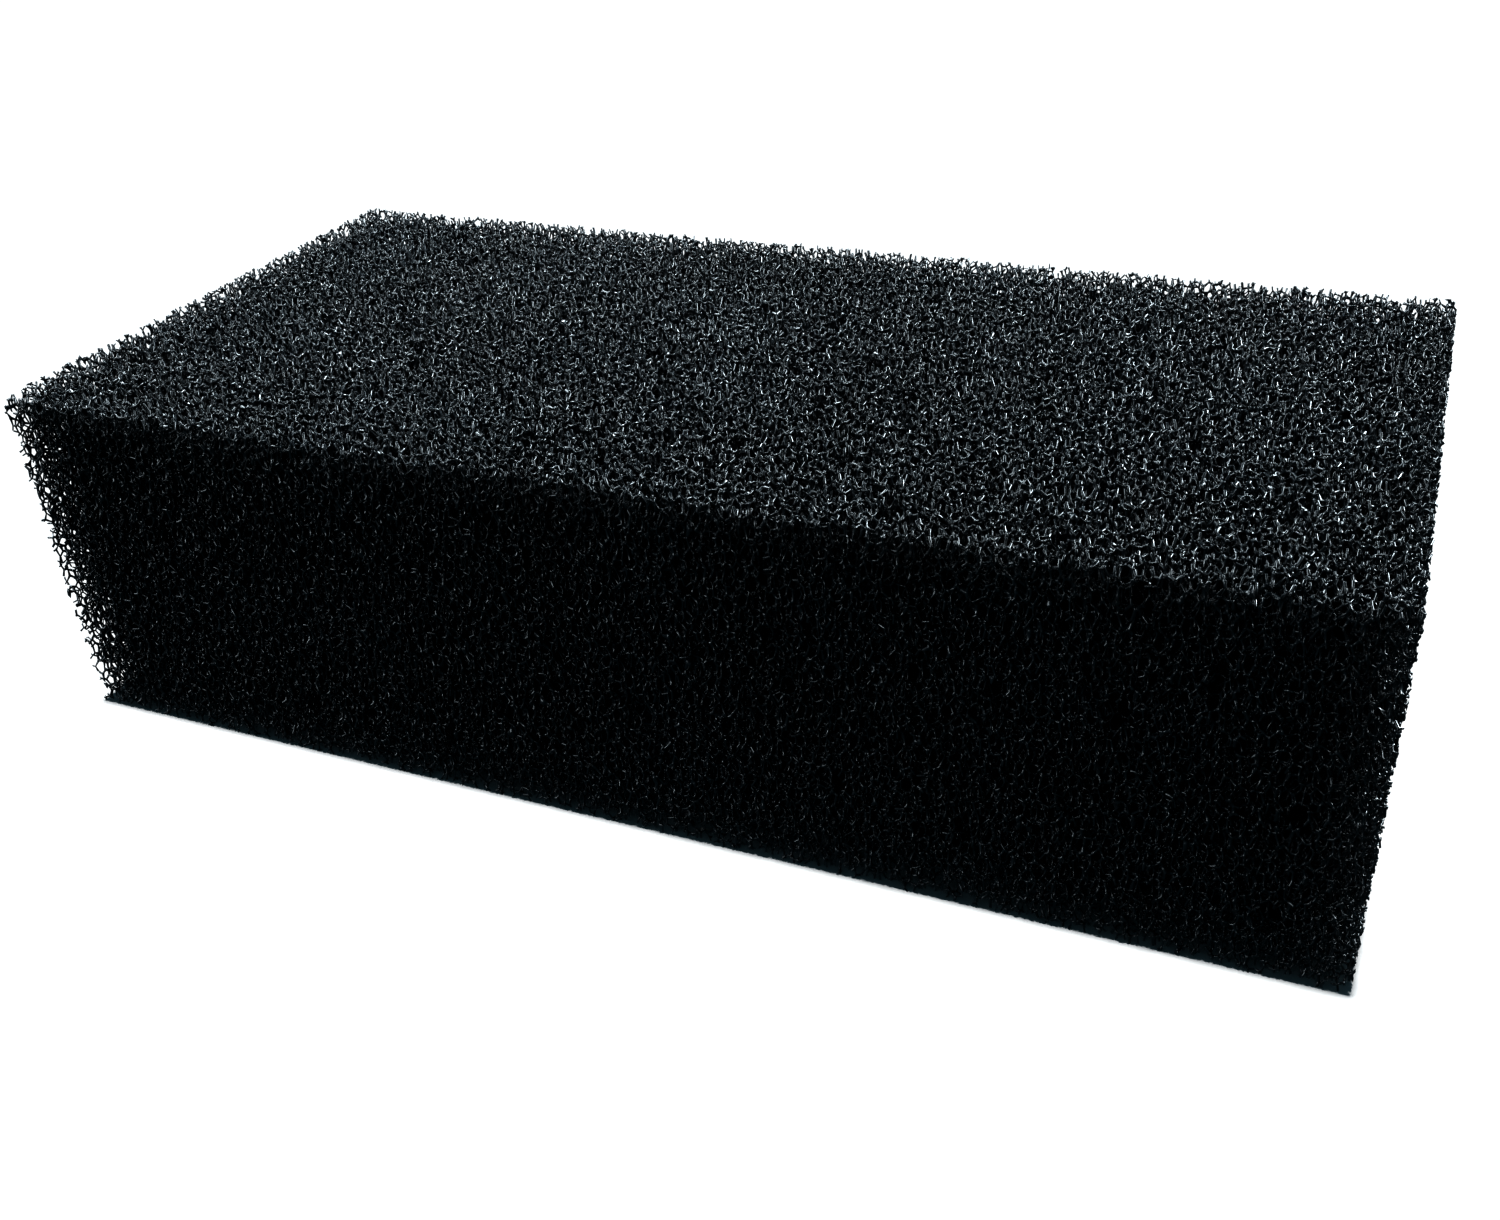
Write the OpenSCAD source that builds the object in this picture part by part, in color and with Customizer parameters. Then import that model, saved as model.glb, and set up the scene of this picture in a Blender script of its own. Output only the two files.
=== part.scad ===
// Chalkboard eraser: one block cut from a slab of coarse, open-cell foam.
// X runs along the block, Y across it and Z up through its thickness.
// The origin is the middle of the broad face that the block lies on.

/* [Block] */
// Length of the block, along X
block_length = 180; // [100:1:300]
// Width of the block, along Y
block_width = 85; // [50:1:95]
// Thickness of the block, along Z
block_thickness = 50; // [20:1:50]

/* [Hidden] */

// The foam fills this box from face to face. All six faces are sawn flat, and the
// edges between them are left square, so no edge carries a radius.
module foam_block() {
    color("black")
        translate([-block_length / 2, -block_width / 2, 0])
            cube([block_length, block_width, block_thickness]);
}

foam_block();
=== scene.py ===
"""Looks of the chalkboard eraser: a block of black open-cell foam, as a real net of struts.

The foam is made the way foam forms. Seeds spread evenly through a cube that wraps round on
itself grow into cells. Where four cells meet is a node, and where three meet is a strut. Copies
of that cube, turned so that no face repeats it, fill the block's outer layer. The block's faces
then saw through the struts that cross them. Everything is in metres, in the CAD frame.
"""

import math
from itertools import combinations

import bmesh
import bpy
import numpy as np
from mathutils import Euler, Matrix, Vector, noise


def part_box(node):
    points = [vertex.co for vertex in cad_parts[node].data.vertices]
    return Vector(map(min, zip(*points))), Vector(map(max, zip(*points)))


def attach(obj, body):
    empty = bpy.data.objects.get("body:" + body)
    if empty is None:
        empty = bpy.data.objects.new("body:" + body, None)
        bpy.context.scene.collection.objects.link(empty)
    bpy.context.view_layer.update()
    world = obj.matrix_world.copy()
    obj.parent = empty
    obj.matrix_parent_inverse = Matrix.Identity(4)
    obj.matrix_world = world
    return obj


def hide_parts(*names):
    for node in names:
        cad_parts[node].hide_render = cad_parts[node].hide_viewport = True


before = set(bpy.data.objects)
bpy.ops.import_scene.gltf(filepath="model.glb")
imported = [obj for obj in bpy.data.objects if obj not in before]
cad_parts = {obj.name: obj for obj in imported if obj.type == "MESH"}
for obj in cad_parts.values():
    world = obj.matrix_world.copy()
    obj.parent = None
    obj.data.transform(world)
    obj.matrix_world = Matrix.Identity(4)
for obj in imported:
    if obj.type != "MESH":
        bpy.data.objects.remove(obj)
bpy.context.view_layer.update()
block = np.array([list(corner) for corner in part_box("foam_block")])

MM = 0.001

# The foam's cells
CELL_VOLUME = 5.0 * MM**3
CELL_STRETCH = 1.6  # along Z, the way the foam rose, against X and Y
CUBE_CELLS = 1500  # in the cube that repeats
CUBE_TURN = (0.61, 0.37, 0.83)  # radians about X, Y and Z, so that faces don't repeat the cube
NEAR_CELLS = 26  # how many neighbours a cell is tested against
SEED_TRIES = 8
SPREAD_STEPS = 8
SPREAD_RATE = 0.08
SPREAD_REACH = 1.15  # seeds closer than this push each other, against the cells' mean side
SPREAD_NEAR = 14  # how many neighbours can push a seed
TENSION_STEPS = 4
TENSION_RATE = 0.35

# The struts
NODE_RADIUS = 0.182 * MM
NODE_SPREAD = 0.25  # how much nodes differ in size, as a share
LUMP_SHARE = 0.012  # of the nodes are lumps
LUMP_SIZE = 2.2  # a lump's radius against a node's
NODE_LIMIT = 0.8  # a node's radius against its shortest strut, at most
CUT_DEPTH = 0.12 * MM  # a sawn strut's middle ends at most this far below the face
CUT_SLANT = 0.25  # how far its edges may end from there, as a share of the strut
SHORTEST_STUB = 0.12  # share of a sawn strut's length that always stays
PIECE_FACES = 190_000  # triangles in one piece of the net, at most

# A node's six films, each between two of its four cells, and the three that bound each strut
FILMS = list(combinations(range(4), 2))
RIMS = np.array([[FILMS.index(pair) for pair in ((a, b), (b, c), (a, c))]
                 for a, b, c in ([s for s in range(4) if s != k] for k in range(4))])
CELL_SIDES = np.array([[i for i, film in enumerate(FILMS) if k in film] for k in range(4)])

# The block's faces, in the order of depths()
FACE_NAMES = ("left", "front", "bottom", "right", "back", "top")

# The map of each piece's surface
MAP_NAME = "OFBake"
MAP_MARGIN = 0.01
MAP_SLANT = (0.31, 0.47)

# The layer of struts, and the core behind it, painted dark as the shade deep inside the foam
LAYER = 2.6 * MM  # from each face to the core
EDGE_LAYER = 8.5 * MM  # the two depths beside an edge add up to this on the core's chamfer
OVERLAP = 0.8 * MM  # how far the struts reach into the core
CORE_GRAIN = 0.9 * MM  # the side of the core's own faces
CORE_PITS = 0.9 * MM

# The foam's material: its colour, gloss and bump vary over patches, struts and grains
FOAM_DARK = (0.003, 0.0065, 0.009)
FOAM_LIGHT = (0.008, 0.0155, 0.021)
FOAM_ROUGH = (0.28, 0.42)
FOAM_GLOSS = 0.9
# The core's material: the same foam painted darker and duller, as painted shade for the foam's
# depths
CORE_SHADE_DARK = (0.001, 0.001, 0.001)
CORE_SHADE_LIGHT = (0.003, 0.003, 0.004)
DEEP_ROUGH = (0.8, 0.95)
DEEP_GLOSS = 0.1
PATCH_SCALE, STRUT_SCALE, GRAIN_SCALE = 70.0, 700.0, 6000.0
COLOUR_RANGE = (0.15, 0.38)  # of the noise, from dark to light
ROUGH_RANGE = (0.3, 0.7)  # of the noise, from smooth to rough
BUMP_STRENGTH = 0.4
BUMP_HEIGHT = 0.02 * MM

# The photograph's viewpoint, with angles in degrees, the lens in millimetres and the shift in
# picture widths
CAMERA_AZIMUTH = 23.95
CAMERA_ELEVATION = 31.54
CAMERA_ROLL = -3.38
CAMERA_DISTANCE = 0.2187
CAMERA_RIGHT = 0.0069
CAMERA_UP = -0.0121
CAMERA_LENS = 36.32
CAMERA_SHIFT = (-0.030, -0.011)

# The studio
FLOOR_WIDTH = 6.0
FLOOR_WHITE = 0.9
FLOOR_ROUGH = 0.9
FLOOR_SUN = 3.8
SUN_ANGLE = 2.5  # degrees
WORLD_FILL = 0.1
FILL_TINT = (0.35, 0.80, 1.0)
KEY_TINT = (0.86, 0.95, 1.0)
LAMPS = {  # each one's place, its watts and the side of its square
    "right": ((0.98, 0.80, 0.58), 42.0, 0.42),
    "left": ((-1.28, 0.20, 0.58), 22.0, 0.42),
    "behind": ((-0.61, 1.06, 0.60), 20.0, 0.42),
    "front": ((-0.92, -0.90, 0.56), 13.0, 0.45),
}
VIEW_GAMMA = 0.64  # below 1, for the photograph's deep blacks


# ---- the net in one cube ----


def wrapped(step, side):
    """The shortest way between two points of a cube that wraps round."""
    return step - side * np.round(step / side)


def even_seeds(rng, count, side):
    """Seeds that each lie as far from the others as the best of a few tries."""
    seeds = rng.random((count, 3)) * side
    for i in range(1, count):
        tries = rng.random((SEED_TRIES, 3)) * side
        gap = (wrapped(tries[:, None] - seeds[None, :i], side) ** 2).sum(2).min(1)
        seeds[i] = tries[gap.argmax()]
    return seeds


def neighbours(seeds, side, count):
    """Each seed's nearest others, nearest first, and the way to them."""
    ways = wrapped(seeds[None] - seeds[:, None], side)
    gap = (ways**2).sum(2)
    np.fill_diagonal(gap, np.inf)
    near = np.argsort(gap, axis=1)[:, :count]
    return near, np.take_along_axis(ways, near[:, :, None], 1)


def spread(seeds, side):
    """Pushes close seeds apart, so that the cells come out alike in size."""
    reach = SPREAD_REACH * side / len(seeds) ** (1 / 3)
    for _ in range(SPREAD_STEPS):
        _, ways = neighbours(seeds, side, SPREAD_NEAR)
        far = np.linalg.norm(ways, axis=2, keepdims=True)
        push = np.clip(reach - far, 0, None) * ways / far
        seeds = (seeds - SPREAD_RATE * push.sum(1)) % side
    return seeds


def circumcentres(a, b, c):
    """Points as far from the origin as from a, b and c, by Cramer's rule."""
    bc, ca, ab = np.cross(b, c), np.cross(c, a), np.cross(a, b)
    size = (a * bc).sum(1)
    size[np.abs(size) < 1e-18] = np.inf
    squares = [(p * p).sum(1)[:, None] for p in (a, b, c)]
    return (squares[0] * bc + squares[1] * ca + squares[2] * ab) / (2 * size[:, None])


def meeting_points(seeds, side):
    """Where four cells meet: the four seeds, in order, and the place."""
    near, ways = neighbours(seeds, side, NEAR_CELLS)
    picks = np.array(list(combinations(range(NEAR_CELLS), 3)))
    cells, places = [], []
    for i, way in enumerate(ways):
        centre = circumcentres(*(way[picks[:, k]] for k in range(3)))
        radius = (centre**2).sum(1)
        able = (radius > 0) & (radius < (way[-1] ** 2).sum() / 4)
        pick, centre, radius = picks[able], centre[able], radius[able]
        gap = ((centre[:, None] - way[None]) ** 2).sum(2).min(1)
        empty = gap > radius * (1 - 1e-9)
        own = np.full((empty.sum(), 1), i)
        cells.append(np.hstack([own, near[i][pick[empty]]]))
        places.append(seeds[i] + centre[empty])
    cells, first = np.unique(np.sort(np.vstack(cells), axis=1), axis=0, return_index=True)
    return cells, np.vstack(places)[first] % side


def join_nodes(cells, places, side):
    """Struts: pairs of nodes with three cells in common. Slot k is the cell a strut leaves out."""
    count = len(cells)
    rims = np.vstack([np.delete(cells, k, axis=1) for k in range(4)])
    order = np.lexsort(rims.T)
    same = (rims[order[1:]] == rims[order[:-1]]).all(1)
    ends = np.stack([order[:-1][same], order[1:][same]], axis=1)
    return ends % count, ends // count


def pull_tight(places, ends, side):
    """Moves each node towards the middle of its neighbours, as the films' tension does."""
    for _ in range(TENSION_STEPS):
        way = wrapped(places[ends[:, 1]] - places[ends[:, 0]], side)
        pull = np.zeros_like(places)
        joined = np.zeros(len(places))
        for end, sign in ((0, 1), (1, -1)):
            np.add.at(pull, ends[:, end], sign * way)
            np.add.at(joined, ends[:, end], 1)
        places = (places + TENSION_RATE * pull / np.maximum(joined, 1)[:, None]) % side
    return places


# ---- the shape of the nodes ----


def unit(vectors):
    """The vectors at length 1."""
    return vectors / np.maximum(np.linalg.norm(vectors, axis=-1, keepdims=True), 1e-12)


def strut_ways(count, ends, slots, way):
    """The direction of each node's four struts. A missing one points away from the others."""
    ways = np.zeros((count, 4, 3))
    ways[ends[:, 0], slots[:, 0]] = unit(way)
    ways[ends[:, 1], slots[:, 1]] = -unit(way)
    missing = (ways == 0).all(2)
    return np.where(missing[:, :, None], -unit(ways.sum(1))[:, None], ways)


def node_sizes(rng, count, ends, way):
    """Each node's radius, less where a strut is too short for it."""
    shortest = np.full(count, np.inf)
    length = np.linalg.norm(way, axis=1)
    for end in (0, 1):
        np.minimum.at(shortest, ends[:, end], length)
    radius = NODE_RADIUS * np.exp(NODE_SPREAD * rng.standard_normal(count))
    radius[rng.random(count) < LUMP_SHARE] *= LUMP_SIZE
    return np.minimum(radius, NODE_LIMIT * shortest)


def node_corners(ways, radius):
    """Six corners round each node, one in each film: struts are three-sided, edges in the films."""
    films = [ways[:, [k for k in range(4) if k not in film]].sum(1) for film in FILMS]
    return radius[:, None, None] * unit(np.stack(films, axis=1))


def turns_left(corners, triangles, ways):
    """Whether each triangle of corners runs anticlockwise as seen from where its way points."""
    a, b, c = (corners[:, triangles[:, k]] for k in range(3))
    return (np.cross(b - a, c - a) * ways).sum(2) > 0


# ---- the net in the block ----


def depths(points):
    """How far points lie below the six faces: low X, Y and Z, then high X, Y and Z."""
    return np.concatenate([points - block[0], block[1] - points], axis=-1)


def core_gap(points):
    """How far points lie outside the core, less than 0 within it."""
    near = np.minimum(points - block[0], block[1] - points)
    flat = near.min(1) - LAYER
    sums = near.sum(1)[:, None] - near - EDGE_LAYER
    return -np.minimum(flat, sums.min(1) / math.sqrt(2))


def cube_shape():
    """The matrix that turns the cube and then stretches it along Z, keeping its volume."""
    turn = np.array(Euler(CUBE_TURN).to_matrix())
    stretch = np.array([1, 1, CELL_STRETCH]) / CELL_STRETCH ** (1 / 3)
    return stretch[:, None] * turn


def cube_copies(shape, side):
    """Which copies of the cube reach the block's outer layer."""
    corners = np.array([[block[i][0], block[j][1], block[k][2]]
                        for i in (0, 1) for j in (0, 1) for k in (0, 1)])
    within = corners @ np.linalg.inv(shape).T / side
    low, high = np.floor(within.min(0)).astype(int) - 1, np.ceil(within.max(0)).astype(int) + 1
    axes = [np.arange(a, b) for a, b in zip(low, high)]
    copies = np.stack(np.meshgrid(*axes, indexing="ij"), -1).reshape(-1, 3)
    middles = (copies + 0.5) * side @ shape.T
    reach = side * math.sqrt(3) / 2 * CELL_STRETCH
    return copies[(depths(middles).min(1) > -reach) & (core_gap(middles) > -reach)]


class Net:
    """The net in the block's layer: nodes, corners, struts and sawn struts."""

    def __init__(self, rng):
        side = (CUBE_CELLS * CELL_VOLUME) ** (1 / 3)
        seeds = spread(even_seeds(rng, CUBE_CELLS, side), side)
        cells, places = meeting_points(seeds, side)
        ends, slots = join_nodes(cells, places, side)
        places = pull_tight(places, ends, side)
        way = wrapped(places[ends[:, 1]] - places[ends[:, 0]], side)
        hop = np.rint((places[ends[:, 0]] + way - places[ends[:, 1]]) / side).astype(int)
        shape = cube_shape()
        way = way @ shape.T
        count = len(places)
        ways = strut_ways(count, ends, slots, way)
        corners = node_corners(ways, node_sizes(rng, count, ends, way))
        copies = cube_copies(shape, side)
        self.copy_nodes(copies, places, side, shape)
        self.copy_struts(copies, ends, slots, hop)
        self.kind = self.node_kind
        self.ways = ways
        self.corners = corners
        self.left = turns_left(corners, RIMS, ways)
        self.cell_left = turns_left(corners, CELL_SIDES, -ways)

    def copy_nodes(self, copies, places, side, shape):
        """Every node of every copy, and whether it lies in the layer."""
        spots = (places[None] + side * copies[:, None]) @ shape.T
        self.spots = spots.reshape(-1, 3)
        self.node_kind = np.tile(np.arange(len(places)), len(copies))
        inside = depths(self.spots).min(1) > NODE_RADIUS
        self.kept = inside.copy()
        self.kept[inside] = core_gap(self.spots[inside]) > -OVERLAP
        self.outside = ~inside

    def copy_struts(self, copies, ends, slots, hop):
        """Every strut of every copy that has both nodes in a copy and one or both in the layer."""
        low = copies.min(0)
        index = np.full(copies.max(0) - low + 3, -1)
        index[tuple((copies - low).T)] = np.arange(len(copies))
        count = self.node_kind.max() + 1
        first, second, first_slot, second_slot = [], [], [], []
        for number, copy in enumerate(copies):
            other = index[tuple((copy - low + hop).T)]
            a = number * count + ends[:, 0]
            b = other * count + ends[:, 1]
            real = other >= 0
            a, b, sa, sb = a[real], b[real], slots[real, 0], slots[real, 1]
            wanted = self.kept[a] | self.kept[b]
            for held, new in ((first, a), (second, b), (first_slot, sa), (second_slot, sb)):
                held.append(new[wanted])
        a, b, sa, sb = (np.concatenate(x) for x in (first, second, first_slot, second_slot))
        swap = ~self.kept[a]
        a, b = np.where(swap, b, a), np.where(swap, a, b)
        sa, sb = np.where(swap, sb, sa), np.where(swap, sa, sb)
        whole = self.kept[b]
        sawn = self.outside[b]
        use = whole | sawn
        self.a, self.b, self.sa, self.sb = a[use], b[use], sa[use], sb[use]
        self.sawn = sawn[use]
        self.drop_loose()

    def drop_loose(self):
        """Leaves out the few bits at the faces that the saw has cut off from the rest."""
        a, b = self.a[~self.sawn], self.b[~self.sawn]
        group, before = np.arange(len(self.spots)), None
        while before is None or (group != before).any():
            before = group.copy()
            lower = np.minimum(group[a], group[b])
            np.minimum.at(group, a, lower)
            np.minimum.at(group, b, lower)
            group = group[group]
        held = group[self.a] == np.bincount(group[self.a]).argmax()
        self.a, self.b, self.sa, self.sb = (x[held] for x in (self.a, self.b, self.sa, self.sb))
        self.sawn = self.sawn[held]


def sawn_ends(net, rng):
    """Where each sawn strut's three edges end, near the face that saws it."""
    a, b, sa, sb = (x[net.sawn] for x in (net.a, net.b, net.sa, net.sb))
    rims = [net.spots[n][:, None] + net.corners[net.kind[n][:, None], RIMS[s]]
            for n, s in ((a, sa), (b, sb))]
    cut = CUT_DEPTH * rng.random((len(a), 1))
    deep = [depths(net.spots[n]) for n in (a, b)]
    with np.errstate(divide="ignore"):
        share = np.where(deep[1] < cut, (deep[0] - cut) / (deep[0] - deep[1]), np.inf)
    face = share.argmin(1)
    middle = share.min(1)[:, None]
    rows = np.arange(len(a))[:, None]
    edge = [depths(rim)[rows, np.arange(3)[None], face[:, None]] for rim in rims]
    fall = edge[0] - edge[1]
    share = (edge[0] - cut) / np.where(np.abs(fall) > 1e-9, fall, 1e-9)
    share = np.clip(share, middle - CUT_SLANT, middle + CUT_SLANT)
    share = np.clip(share, SHORTEST_STUB, 1)[:, :, None]
    return rims[0] + share * (rims[1] - rims[0])


def facing(triangles, left):
    """The triangles, turned over where they don't run anticlockwise."""
    return np.where(left[..., None], triangles, triangles[..., [0, 2, 1]])


def net_piece(net, struts, ends):
    """Corners and triangles of one closed piece of the net, from the struts in it."""
    a, b, sa, sb, sawn = (x[struts] for x in (net.a, net.b, net.sa, net.sb, net.sawn))
    nodes = np.unique(np.concatenate([a, b[~sawn]]))
    la, lb = np.searchsorted(nodes, a), np.searchsorted(nodes, b[~sawn])
    kind = net.kind[nodes]
    base = 6 * np.arange(len(nodes))[:, None, None]
    joined = np.zeros((len(nodes), 4), bool)
    joined[la, sa] = True
    joined[lb, sb[~sawn]] = True
    sides = facing(base + CELL_SIDES[None], net.cell_left[kind]).reshape(-1, 3)
    caps = facing(base + RIMS[None], net.left[kind])[~joined]
    rim_a = 6 * la[:, None] + RIMS[sa]
    rim_b = np.empty_like(rim_a)
    rim_b[~sawn] = 6 * lb[:, None] + RIMS[sb[~sawn]]
    rim_b[sawn] = 6 * len(nodes) + np.arange(3 * sawn.sum()).reshape(-1, 3)
    left = net.left[net.kind[a], sa]
    rim_a, rim_b = facing(rim_a, left), facing(rim_b, left)
    walls = []
    for k in range(3):
        n = (k + 1) % 3
        walls.append(np.stack([rim_a[:, k], rim_a[:, n], rim_b[:, n]], 1))
        walls.append(np.stack([rim_a[:, k], rim_b[:, n], rim_b[:, k]], 1))
    corners = (net.spots[nodes][:, None] + net.corners[kind]).reshape(-1, 3)
    corners = np.vstack([corners, ends[struts[net.sawn]].reshape(-1, 3)])
    return corners, np.vstack([sides, caps, *walls, rim_b[sawn]])


def mesh_object(name, corners, triangles):
    """A smooth-shaded object from arrays of corners and triangles."""
    mesh = bpy.data.meshes.new(name)
    mesh.vertices.add(len(corners))
    mesh.vertices.foreach_set("co", corners.astype(np.float32).ravel())
    mesh.loops.add(triangles.size)
    mesh.loops.foreach_set("vertex_index", triangles.astype(np.int32).ravel())
    mesh.polygons.add(len(triangles))
    mesh.polygons.foreach_set("loop_start", np.arange(0, triangles.size, 3, dtype=np.int32))
    mesh.polygons.foreach_set("use_smooth", np.ones(len(triangles), bool))
    mesh.update(calc_edges=True)
    piece = bpy.data.objects.new(name, mesh)
    bpy.context.collection.objects.link(piece)
    return piece


def net_pieces(net, rng):
    """The net as pieces named after the block's faces, each along the longer way of its face."""
    ends = sawn_ends(net, rng)
    nearest = depths(net.spots[net.a]).argmin(1)
    triangles = 6 + 4 * len(net.spots[net.kept]) / len(net.a)  # to one strut, about
    made = []
    for face, name in enumerate(FACE_NAMES):
        struts = np.flatnonzero(nearest == face)
        axis = 1 if face % 3 == 0 else 0
        along = net.spots[net.a[struts], axis]
        parts = math.ceil(len(struts) * triangles / PIECE_FACES)
        limits = np.quantile(along, np.linspace(0, 1, parts + 1)[1:-1])
        part = np.searchsorted(limits, along)
        for number in range(parts):
            mask = np.zeros(len(net.a), bool)
            mask[struts[part == number]] = True
            corners, faces = net_piece(net, mask, ends)
            made.append(mesh_object(f"foam_{name}_{number + 1}", corners, faces))
            lay_out(made[-1], face)
    return made


def vertex_values(mesh, name):
    """One vector for each corner of the mesh."""
    values = np.empty(3 * len(mesh.vertices), np.float32)
    mesh.vertices.foreach_get(name, values)
    return values.reshape(-1, 3)


def loop_corners(mesh):
    """Which corner each of the faces' own corners is."""
    corner = np.empty(len(mesh.loops), np.int32)
    mesh.loops.foreach_get("vertex_index", corner)
    return corner


def set_map(mesh, flat):
    """The piece's map, from one place for each of the faces' own corners."""
    mesh.uv_layers.new(name=MAP_NAME).data.foreach_set("uv", flat.astype(np.float32).ravel())


def lay_out(piece, face):
    """A flat map looking at the face, a little aslant so that upright walls keep some width."""
    normal = face % 3
    across = [k for k in range(3) if k != normal]
    mesh = piece.data
    spots = vertex_values(mesh, "co")
    flat = spots[:, across] + spots[:, [normal]] * MAP_SLANT
    flat = (flat - flat.min(0)) / np.ptp(flat, axis=0) * (1 - 2 * MAP_MARGIN) + MAP_MARGIN
    set_map(mesh, flat[loop_corners(mesh)])


# ---- the core ----


def core_mesh(name):
    """The foam's heart, to be painted dark as shade: a closed block with bevelled edges and a
    cell-pitted skin.
    """
    low, high = block[0] + LAYER, block[1] - LAYER
    cube = bmesh.new()
    bmesh.ops.create_cube(cube, size=1)
    bmesh.ops.scale(cube, vec=high - low, verts=cube.verts)
    bmesh.ops.translate(cube, vec=(low + high) / 2, verts=cube.verts)
    bmesh.ops.bevel(cube, geom=cube.edges[:], offset=EDGE_LAYER - 2 * LAYER, segments=1,
                    affect="EDGES", profile=0.5)
    mesh = bpy.data.meshes.new(name)
    cube.to_mesh(mesh)
    cube.free()
    core = bpy.data.objects.new(name, mesh)
    bpy.context.collection.objects.link(core)
    remesh = core.modifiers.new("grain", "REMESH")
    remesh.mode = "VOXEL"
    remesh.voxel_size = CORE_GRAIN
    remesh.use_smooth_shade = True
    seen = core.evaluated_get(bpy.context.evaluated_depsgraph_get())
    core.data = bpy.data.meshes.new_from_object(seen)
    core.modifiers.clear()
    pit(core.data)
    return core


def pit(mesh):
    """Sinks each corner by how close it lies to the rim of a cell."""
    cell = CELL_VOLUME ** (1 / 3)
    spots = vertex_values(mesh, "co")
    normals = vertex_values(mesh, "normal")
    far = np.array([noise.voronoi(Vector(spot) / cell)[0][:2] for spot in spots])
    sunk = CORE_PITS * (1 - np.minimum(far[:, 1] - far[:, 0], 1))
    mesh.vertices.foreach_set("co", (spots - normals * sunk[:, None]).ravel())
    mesh.update()


def lay_out_box(mesh):
    """A map with one sixth for each way that the mesh's faces look."""
    spots = vertex_values(mesh, "co")
    share = (spots - spots.min(0)) / np.ptp(spots, axis=0)
    normals = np.empty(3 * len(mesh.polygons), np.float32)
    mesh.polygons.foreach_get("normal", normals)
    normals = normals.reshape(-1, 3)
    totals = np.empty(len(mesh.polygons), np.int32)
    mesh.polygons.foreach_get("loop_total", totals)
    steepest = np.abs(normals).argmax(1)
    axis = np.repeat(steepest, totals)
    high = np.repeat(normals[np.arange(len(normals)), steepest] > 0, totals)
    across = np.array([[1, 2], [0, 2], [0, 1]])[axis]
    flat = np.take_along_axis(share[loop_corners(mesh)], across, 1)
    flat = flat * (1 - 2 * MAP_MARGIN) + MAP_MARGIN
    set_map(mesh, (flat + np.stack([axis, high], 1)) / (3, 2))


# ---- materials ----


def add_node(tree, kind, **sockets):
    """A node with its sockets set: a number or colour is a value, and anything else a link."""
    node = tree.nodes.new(kind)
    for name, value in sockets.items():
        socket = node.inputs[name.replace("_", " ")]
        if isinstance(value, bpy.types.NodeSocket):
            tree.links.new(value, socket)
        else:
            socket.default_value = value
    return node


def ramp(tree, factor, *stops):
    """A colour ramp through (place, colour) stops."""
    node = add_node(tree, "ShaderNodeValToRGB", Fac=factor)
    for element, (place, colour) in zip(node.color_ramp.elements, stops):
        element.position = place
        element.color = (*colour, 1)
    return node.outputs["Color"]


def foam_material(name, dark, light, rough, gloss_level):
    """Black polymer: a faint gloss, a little dust in patches and a fine grain on each strut."""
    material = bpy.data.materials.new(name)
    material.use_nodes = True
    tree = material.node_tree
    shader = tree.nodes["Principled BSDF"]
    spot = add_node(tree, "ShaderNodeTexCoord").outputs["Object"]
    patches = add_node(tree, "ShaderNodeTexNoise", Vector=spot, Scale=PATCH_SCALE, Detail=4.0)
    struts = add_node(tree, "ShaderNodeTexNoise", Vector=spot, Scale=STRUT_SCALE, Detail=2.0)
    grain = add_node(tree, "ShaderNodeTexNoise", Vector=spot, Scale=GRAIN_SCALE, Detail=2.0)
    mixed = add_node(tree, "ShaderNodeMath", Value=patches.outputs["Fac"])
    mixed.operation = "MULTIPLY"
    tree.links.new(struts.outputs["Fac"], mixed.inputs[1])
    stops = zip(COLOUR_RANGE, (dark, light))
    colour = ramp(tree, mixed.outputs["Value"], *stops)
    tree.links.new(colour, shader.inputs["Base Color"])
    shader.inputs["Specular IOR Level"].default_value = gloss_level
    roughness = add_node(tree, "ShaderNodeMapRange", Value=struts.outputs["Fac"],
                         From_Min=ROUGH_RANGE[0], From_Max=ROUGH_RANGE[1],
                         To_Min=rough[0], To_Max=rough[1])
    tree.links.new(roughness.outputs["Result"], shader.inputs["Roughness"])
    bump = add_node(tree, "ShaderNodeBump", Strength=BUMP_STRENGTH, Distance=BUMP_HEIGHT,
                    Height=grain.outputs["Fac"])
    tree.links.new(bump.outputs["Normal"], shader.inputs["Normal"])
    return material


def floor_material():
    """Plain matt white."""
    material = bpy.data.materials.new("floor")
    material.use_nodes = True
    shader = material.node_tree.nodes["Principled BSDF"]
    shader.inputs["Base Color"].default_value = (FLOOR_WHITE, FLOOR_WHITE, FLOOR_WHITE, 1)
    shader.inputs["Roughness"].default_value = FLOOR_ROUGH
    return material


# ---- the studio ----


def add_camera(middle):
    """The photograph's viewpoint: round the block, up from the floor, then rolled a little."""
    turn, rise = math.radians(CAMERA_AZIMUTH), math.radians(CAMERA_ELEVATION)
    flat = math.cos(rise)
    back = Vector((math.sin(turn) * flat, -math.cos(turn) * flat, math.sin(rise)))
    right = Vector((0, 0, 1)).cross(back).normalized()
    up = back.cross(right)
    roll = math.radians(CAMERA_ROLL)
    rolled_right = right * math.cos(roll) + up * math.sin(roll)
    rolled_up = up * math.cos(roll) - right * math.sin(roll)
    data = bpy.data.cameras.new("camera")
    data.lens = CAMERA_LENS
    data.sensor_width = 36
    data.shift_x, data.shift_y = CAMERA_SHIFT
    data.clip_start = 0.01
    camera = bpy.data.objects.new("camera", data)
    bpy.context.collection.objects.link(camera)
    place = middle + rolled_right * CAMERA_RIGHT + rolled_up * CAMERA_UP + back * CAMERA_DISTANCE
    axes = Matrix((rolled_right, rolled_up, back)).transposed()
    camera.matrix_world = Matrix.Translation(place) @ axes.to_4x4()
    bpy.context.scene.camera = camera


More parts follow.
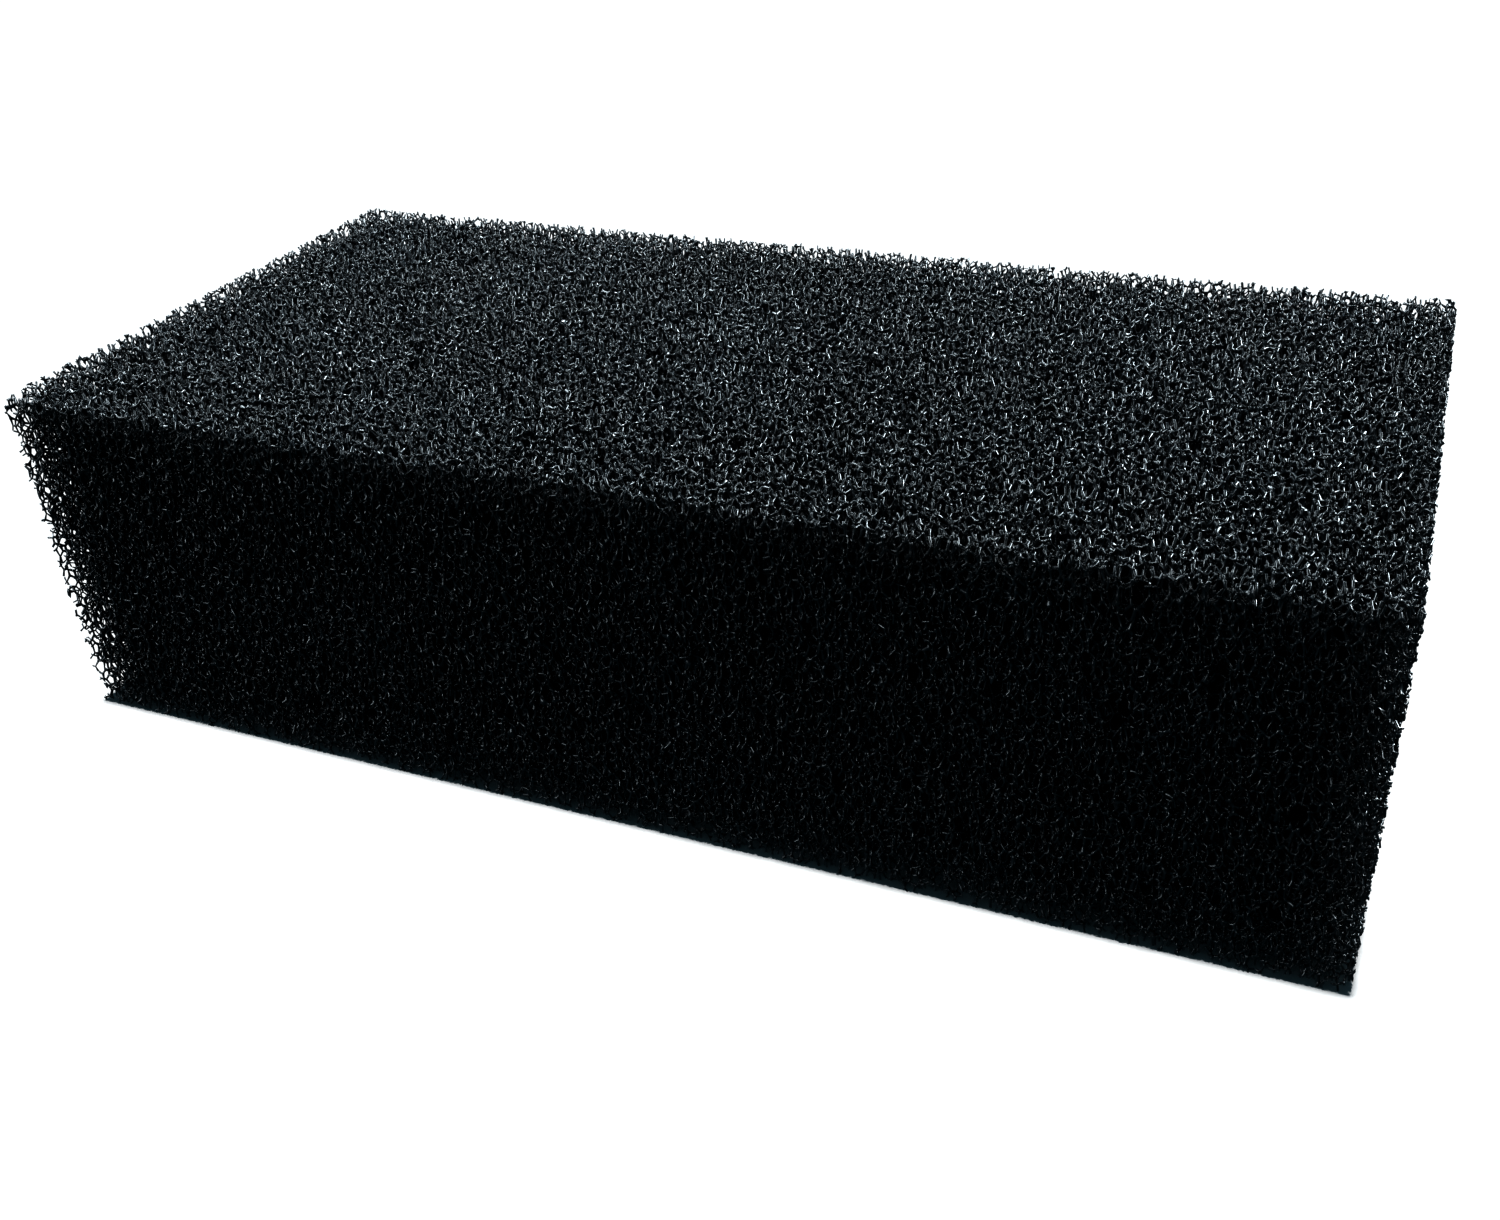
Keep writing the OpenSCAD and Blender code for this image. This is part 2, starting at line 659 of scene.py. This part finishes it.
def add_lamp(name, place, aim, side, power, pieces):
    """A square soft light that the camera doesn't see and that lights only the pieces."""
    data = bpy.data.lights.new(name, "AREA")
    data.shape = "SQUARE"
    data.size = side
    data.energy = power
    data.color = KEY_TINT
    lamp = bpy.data.objects.new(name, data)
    bpy.context.collection.objects.link(lamp)
    lamp.location = place
    lamp.rotation_euler = (aim - Vector(place)).to_track_quat("-Z", "Y").to_euler()
    lamp.visible_camera = False
    light_only(lamp, pieces)


def light_only(lamp, pieces):
    """The lamp lights these pieces and nothing else."""
    lit = bpy.data.collections.new(lamp.name)
    for piece in pieces:
        lit.objects.link(piece)
    lamp.light_linking.receiver_collection = lit


def add_sun(pieces):
    """A sun straight above that lights only the pieces."""
    data = bpy.data.lights.new("sun", "SUN")
    data.energy = FLOOR_SUN
    data.angle = math.radians(SUN_ANGLE)
    lamp = bpy.data.objects.new("sun", data)
    bpy.context.collection.objects.link(lamp)
    light_only(lamp, pieces)


def add_floor():
    """A white floor, which doesn't throw its light back on the block."""
    mesh = bpy.data.meshes.new("floor")
    half = FLOOR_WIDTH / 2
    mesh.from_pydata([(-half, -half, 0), (half, -half, 0), (half, half, 0), (-half, half, 0)],
                     [], [(0, 1, 2, 3)])
    floor = bpy.data.objects.new("floor", mesh)
    bpy.context.collection.objects.link(floor)
    mesh.materials.append(floor_material())
    floor.visible_diffuse = False
    floor.visible_glossy = False
    return floor


def add_world():
    """White to the camera and dim to the block, as in a studio with a lit backdrop."""
    world = bpy.data.worlds.new("studio")
    bpy.context.scene.world = world
    world.use_nodes = True
    tree = world.node_tree
    backdrop = tree.nodes["Background"]
    backdrop.inputs["Color"].default_value = (1, 1, 1, 1)
    fill = add_node(tree, "ShaderNodeBackground", Color=(*FILL_TINT, 1), Strength=WORLD_FILL)
    seen = add_node(tree, "ShaderNodeLightPath").outputs["Is Camera Ray"]
    mix = add_node(tree, "ShaderNodeMixShader", Fac=seen)
    tree.links.new(fill.outputs[0], mix.inputs[1])
    tree.links.new(backdrop.outputs[0], mix.inputs[2])
    tree.links.new(mix.outputs[0], tree.nodes["World Output"].inputs["Surface"])


def finish_piece(piece, material):
    """What every piece of foam needs: its material and its body, with the block's own part hidden.
    """
    piece.data.materials.append(material)
    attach(piece, "root")
    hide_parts("foam_block")


rng = np.random.default_rng(7)
strut_foam = foam_material("foam", FOAM_DARK, FOAM_LIGHT, FOAM_ROUGH, FOAM_GLOSS)
# The core gets the foam painted darker and duller: painted shade for the depths of the foam
shaded_core_foam = foam_material("foam_core_painted_shade", CORE_SHADE_DARK, CORE_SHADE_LIGHT, DEEP_ROUGH, DEEP_GLOSS)
foam = net_pieces(Net(rng), rng)
for piece in foam:
    finish_piece(piece, strut_foam)
core = core_mesh("foam_core")
lay_out_box(core.data)
finish_piece(core, shaded_core_foam)

middle = Vector((block[0] + block[1]) / 2)
add_camera(middle)
floor = add_floor()
add_world()
for name, (place, power, side) in LAMPS.items():
    add_lamp(name, place, middle, side, power, [core, *foam])
add_sun([floor])
bpy.context.scene.view_settings.view_transform = "Standard"
bpy.context.scene.view_settings.gamma = VIEW_GAMMA
bpy.context.scene.cycles.use_denoising = True
